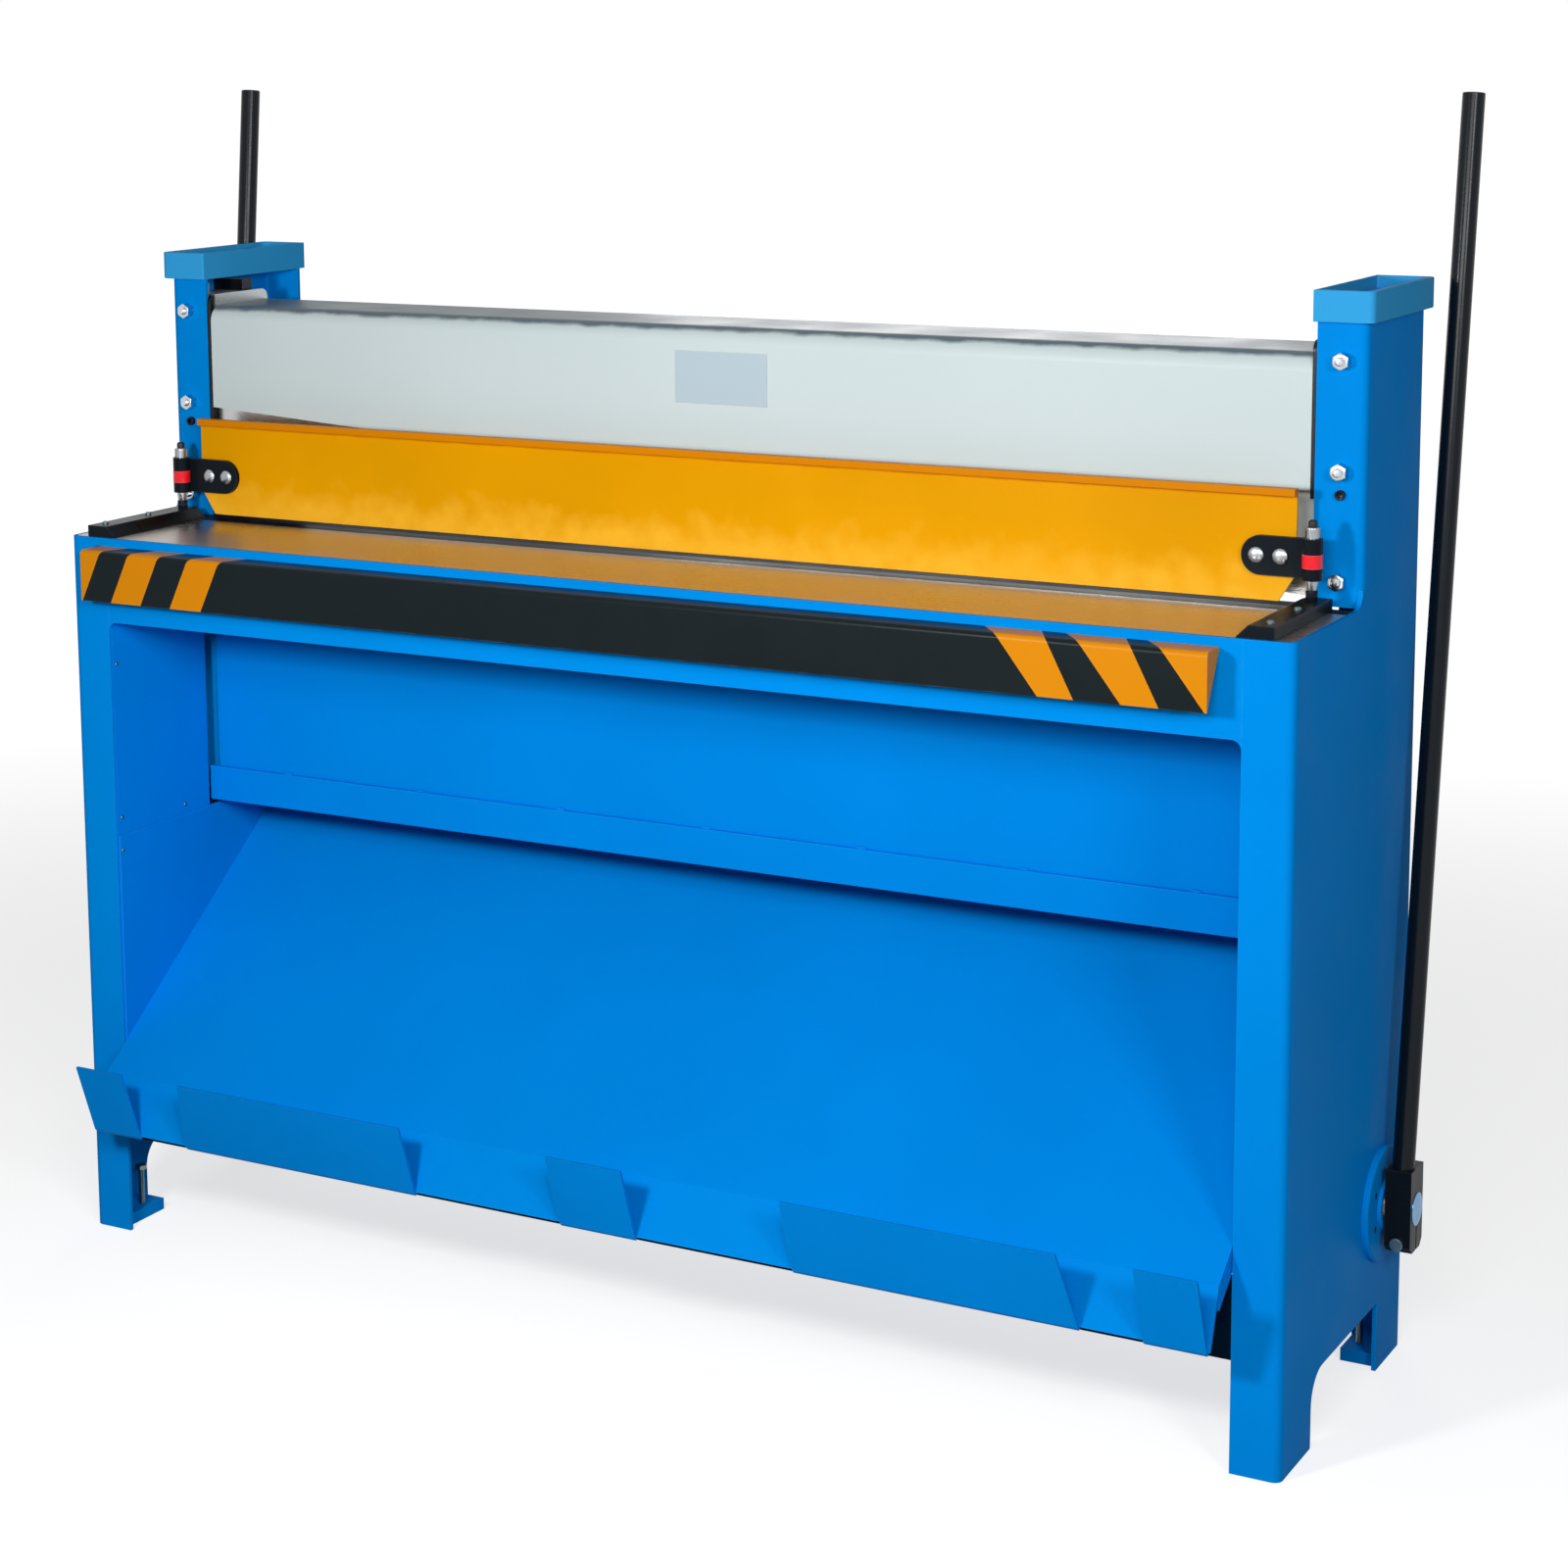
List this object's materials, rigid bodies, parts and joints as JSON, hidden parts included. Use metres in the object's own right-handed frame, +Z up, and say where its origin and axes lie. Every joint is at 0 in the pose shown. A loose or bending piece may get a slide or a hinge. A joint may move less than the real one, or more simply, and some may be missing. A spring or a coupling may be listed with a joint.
{
  "type": "guillotine shear",
  "caption": "Foot-standing hand guillotine shear for sheet metal: bent-sheet side frames, table, raked blade beam, finger guard, chute and side levers.",
  "frame": {"origin": "centre of the whole object's box at floor level", "axes": "+X to the operator's right along the blades, +Y to the back, +Z up"},
  "size_m": [1.6904, 0.562, 1.4426],
  "materials": {
    "blue_paint": "gloss paint",
    "cap_paint": "gloss paint",
    "yellow_paint": "gloss paint",
    "hazard_paint": "satin black with orange slanted stripes",
    "grey_paint": "satin light grey paint",
    "plate_paint": "plain pale plate",
    "black_paint": "satin black",
    "table_steel": "polished",
    "blade_steel": "ground",
    "zinc": "bright zinc",
    "black_oxide": "black oxide",
    "guide_iron": "machined",
    "bronze": "plain",
    "red_plastic": "gloss"
  },
  "bodies": {
    "frame": {"left_side_frame": "blue_paint", "right_side_frame": "blue_paint", "front_beam": "blue_paint", "table_top": "table_steel", "lower_blade_beam": "blue_paint", "ledge_rail": "blue_paint", "lower_blade": "blade_steel", "lower_blade_screws": "black_oxide", "chute": "blue_paint", "left_chute_cheek": "blue_paint", "right_chute_cheek": "blue_paint", "left_side_lining": "blue_paint", "right_side_lining": "blue_paint", "left_cap": "cap_paint", "right_cap": "cap_paint", "gibs": "guide_iron", "rear_guides": "guide_iron", "gib_bolts": "zinc", "gib_set_screws": "black_oxide", "foot_plates": "blue_paint", "levelling_bolts": "zinc", "hazard_guard": "hazard_paint", "left_side_gauge": "black_paint", "right_side_gauge": "black_paint", "gauge_scales": "zinc", "gauge_screws": "zinc", "guide_posts": "zinc", "post_caps": "black_paint", "rear_tie": "blue_paint", "lower_tie": "blue_paint", "bearings": "blue_paint", "bushings": "bronze", "bearing_screws": "black_oxide", "strut_cylinders": "black_paint"},
    "levers": {"lever_shaft": "zinc", "left_crank": "black_paint", "right_crank": "black_paint", "crank_pins": "zinc", "left_clamp_block": "black_paint", "right_clamp_block": "black_paint", "clamp_bolts": "zinc", "left_lever": "black_paint", "right_lever": "black_paint"},
    "ram": {"blade_beam": "grey_paint", "blade_carrier": "grey_paint", "beam_ribs": "grey_paint", "slide_plates": "blade_steel", "guide_shoes": "guide_iron", "upper_blade": "blade_steel", "upper_blade_screws": "black_oxide", "blank_plate": "plate_paint", "left_pull_rod": "black_paint", "right_pull_rod": "black_paint", "strut_rods": "zinc"},
    "hold_down": {"guard_panel": "yellow_paint", "hold_down_bar": "blade_steel", "left_bracket": "black_paint", "right_bracket": "black_paint", "bracket_bolts": "zinc", "red_bands": "red_plastic"}
  },
  "joints": [
    {"name": "lever_swing", "type": "hinge", "parent": "frame", "child": "levers", "pos_m": [0, 0.14623, 0.201], "axis": [1, 0, 0], "range_deg": [0, 80]},
    {"name": "beam_slide", "type": "slide", "parent": "frame", "child": "ram", "axis": [0, 0, -1], "range_m": [0, 0.10616], "stiffness_N_per_m": 5000, "springref_m": -0.19},
    {"name": "hold_down_slide", "type": "slide", "parent": "frame", "child": "hold_down", "axis": [0, 0, -1], "range_m": [0, 0.0055], "stiffness_N_per_m": 20000, "springref_m": -0.02}
  ],
  "couplings": [
    {"joint": "beam_slide", "follows": "lever_swing", "m_per_rad": 0.07596}
  ]
}
